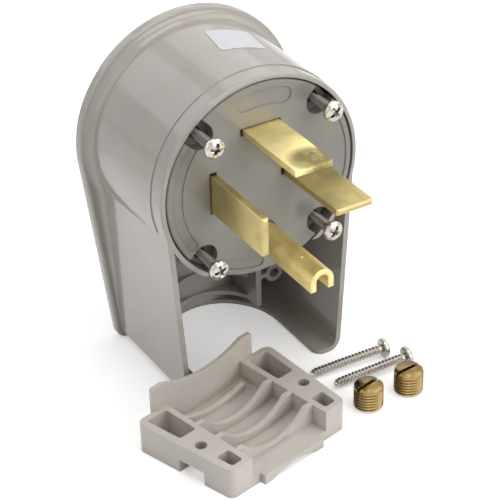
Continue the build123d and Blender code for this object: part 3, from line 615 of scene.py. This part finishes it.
FACE_SCREW = {
    "head_radius": 3.3, "head_height": 2.3, "length": 25.4, "crest": 1.75, "pitch": 0.794,
    "thread_depth": 0.42, "flat": 0.10, "plain": 0.4, "point": 0.8, "cross_turn": 0.0,
    "cross_half_width": 0.62, "cross_half_length": 2.15, "cross_deep": 1.5,
    "sides": 56, "rows_per_pitch": 8,
}
FACE_SCREW_TOP = -9.8
FACE_SCREWS = (                 # x, z and turn of each
    (-20.6, 21.0, 20), (20.6, 21.0, 52), (-20.6, -21.0, 75), (20.6, -21.0, 33),
)
face_screw = long_screw("face_screw_mesh", FACE_SCREW)
face_copies = []
for x, z, turn in FACE_SCREWS:
    driven = lying_axis((x, FACE_SCREW_TOP, z), (0, 1, 0))
    face_copies.append((face_screw, driven @ Matrix.Rotation(math.radians(turn), 4, "X")))
joined("face_screws_threaded", face_copies, nickel_look, "face_screws")

CLAMP_SCREW = {
    "head_radius": 3.3, "head_height": 2.3, "length": 26.4, "crest": 1.6, "pitch": 1.25,
    "thread_depth": 0.45, "flat": 0.12, "plain": 1.2, "point": 1.6, "cross_turn": 0.4,
    "cross_half_width": 0.62, "cross_half_length": 2.2, "cross_deep": 1.6,
    "sides": 40, "rows_per_pitch": 40,
}
CLAMP_SCREWS = ((40.2, -11.9, 174.3), (43.9, -19.7, 176.0))     # x, y and bearing of the axis
clamp_screw = long_screw("clamp_screw_mesh", CLAMP_SCREW)
tilt = math.asin((CLAMP_SCREW["head_radius"] - CLAMP_SCREW["crest"]) / CLAMP_SCREW["length"])
head_lift = CLAMP_SCREW["head_radius"] * math.cos(tilt) + CLAMP_SCREW["head_height"] * math.sin(tilt)
clamp_copies = []
for x, y, bearing in CLAMP_SCREWS:
    angle = math.radians(bearing)
    direction = (math.cos(angle) * math.cos(tilt), math.sin(angle) * math.cos(tilt), -math.sin(tilt))
    clamp_copies.append((clamp_screw, lying_axis((x, y, FLOOR_MM + head_lift), direction)))
joined("clamp_screws_threaded", clamp_copies, zinc_look, "clamp_screws")

LOOSE_SCREW = {
    "crest": 4.76, "length": 8.5, "pitch": 1.06, "thread_depth": 0.55, "flat": 0.12,
    "chamfer": 0.8, "rim": 1.25, "slot": 1.3, "slot_deep": 1.7, "sides": 64, "rows_per_pitch": 64,
}
LOOSE_SCREWS = ((19.5, -30.8, 11.0), (34.9, -31.0, 4.0))        # x, y and bearing of the slot
loose_screw = set_screw("set_screw_mesh", LOOSE_SCREW)
loose_copies = []
for x, y, bearing in LOOSE_SCREWS:
    standing = Matrix.Translation(Vector((x, y, FLOOR_MM)) * MM)
    loose_copies.append((loose_screw, standing @ Matrix.Rotation(math.radians(bearing), 4, "Z")))
joined("loose_pressure_screws_threaded", loose_copies, screw_look, "loose_pressure_screws")


# ---------------------------------------------------------------- floor and world
FLOOR_SEEN_LOW = (0.90, 0.90, 0.895)
FLOOR_SEEN_HIGH = (0.93, 0.93, 0.93)
FLOOR_LIT = (0.74, 0.74, 0.73)
FLOOR_GLOW = 0.38
FLOOR_REACH = 6.0
FLOOR_GAP = 0.00005
SKY_SEEN, SKY_LIT = 1.0, 0.27


def sees_background(tree):
    """1 for a ray that shows the background: from the camera, mirrored or through glass."""
    rays = tree.nodes.new("ShaderNodeLightPath").outputs
    shows = rays["Is Camera Ray"]
    for kind in ("Is Glossy Ray", "Is Transmission Ray"):
        either = tree.nodes.new("ShaderNodeMath")
        either.operation = "MAXIMUM"
        tree.links.new(shows, either.inputs[0])
        tree.links.new(rays[kind], either.inputs[1])
        shows = either.outputs[0]
    return shows


def pale_floor():
    """A wide pale sheet that looks near white, and throws less light on the object than that."""
    look = Look("pale_floor_look")
    seen = look.mix(look.span(look.noise(3, rough=0.5), 0.3, 0.7), FLOOR_SEEN_LOW, FLOOR_SEEN_HIGH)
    shows = sees_background(look.tree)
    tone = look.mix(shows, FLOOR_LIT, seen)
    material = look.finish(tone, look.span(look.noise(40), 0.3, 0.7, 0.55, 0.7), IOR=FLOOR_IOR)
    look.put((1.0, 1.0, 1.0), look.shader.inputs["Emission Color"])
    look.link(look.times(shows, FLOOR_GLOW), look.shader.inputs["Emission Strength"])
    mesh = bmesh.new()
    bmesh.ops.create_grid(mesh, x_segments=8, y_segments=8, size=FLOOR_REACH)
    bmesh.ops.translate(mesh, vec=(0, 0, FLOOR - FLOOR_GAP), verts=mesh.verts)
    data = mesh_data(mesh, "pale_floor")
    data.materials.append(material)
    floor = in_scene("pale_floor", data)


def studio_world():
    """Plain white where it is seen, and a dimmer, slightly warm sky where it lights."""
    world = bpy.data.worlds.new("studio")
    bpy.context.scene.world = world
    world.use_nodes = True
    sky = world.node_tree
    sky.nodes.clear()
    choose = sky.nodes.new("ShaderNodeMixShader")
    sky.links.new(sees_background(sky), choose.inputs[0])
    for socket, color, strength in ((1, (1.0, 0.99, 0.98, 1), SKY_LIT), (2, (1, 1, 1, 1), SKY_SEEN)):
        shine = sky.nodes.new("ShaderNodeBackground")
        shine.inputs["Color"].default_value = color
        shine.inputs["Strength"].default_value = strength
        sky.links.new(shine.outputs[0], choose.inputs[socket])
    sky.links.new(choose.outputs[0], sky.nodes.new("ShaderNodeOutputWorld").inputs["Surface"])


pale_floor()
studio_world()


# ---------------------------------------------------------------- lamps
LAMP_TARGET = Vector((0.0, 0.0, -0.02))
SOFT_BOXES = (
    ("top_light", (0.00, -0.10, 0.85), (0.60, 0.60), 3.0),
    ("front_light", (0.30, -0.70, 0.30), (0.60, 0.60), 3.1),
    ("right_light", (0.60, -0.10, 0.55), (0.60, 0.60), 1.6),
    ("left_light", (-0.75, 0.00, 0.35), (0.60, 0.60), 0.9),
    ("back_left_light", (-0.45, 0.65, 0.50), (0.70, 0.40), 0.8),
    ("back_light", (0.42, 0.66, 0.50), (0.70, 0.40), 0.7),
)
POOL_PLACE = (-0.198, 0.05, 0.55)
POOL_ANGLE = math.radians(27)
POOL_ENERGY = 5.5

for name, place, size, energy in SOFT_BOXES:
    data = bpy.data.lights.new(name, "AREA")
    data.shape = "RECTANGLE"
    data.size, data.size_y = size
    data.energy = energy
    light = in_scene(name, data)
    light.location = place
    light.rotation_mode = "QUATERNION"
    light.rotation_quaternion = (Vector(place) - LAMP_TARGET).to_track_quat("Z", "Y")

# a narrow lamp straight above the floor, for the bright patch that the left side mirrors
pool = bpy.data.lights.new("floor_light", "SPOT")
pool.spot_size = POOL_ANGLE
pool.spot_blend = 0.06
pool.shadow_soft_size = 0.004
pool.energy = POOL_ENERGY
in_scene("floor_light", pool).location = POOL_PLACE


# ---------------------------------------------------------------- camera
VIEW_DEGREES = (-30.5216, 32.5958, -1.3624)     # azimuth, elevation and roll, as fitted to the photo
VIEW_DISTANCE = 0.557749
VIEW_AIM = Vector((-0.0046755, 0.0, -0.0238105))
LENS, SENSOR = 129.6, 36.0

azimuth, elevation, roll = (math.radians(v) for v in VIEW_DEGREES)
back = Vector((
    math.sin(azimuth) * math.cos(elevation),
    -math.cos(azimuth) * math.cos(elevation),
    math.sin(elevation),
))
right = (-back).cross(Vector((0, 0, 1))).normalized()
up = right.cross(-back)
image_right = right * math.cos(roll) + up * math.sin(roll)
image_up = up * math.cos(roll) - right * math.sin(roll)
camera_data = bpy.data.cameras.new("camera")
camera_data.lens = LENS
camera_data.sensor_width = SENSOR
camera_data.clip_start = 0.01
camera_data.clip_end = 50.0
camera = in_scene("camera", camera_data)
axes = Matrix((image_right, image_up, back)).transposed().to_4x4()
camera.matrix_world = Matrix.Translation(VIEW_AIM + back * VIEW_DISTANCE) @ axes
bpy.context.scene.camera = camera
bpy.context.scene.view_settings.view_transform = "Standard"
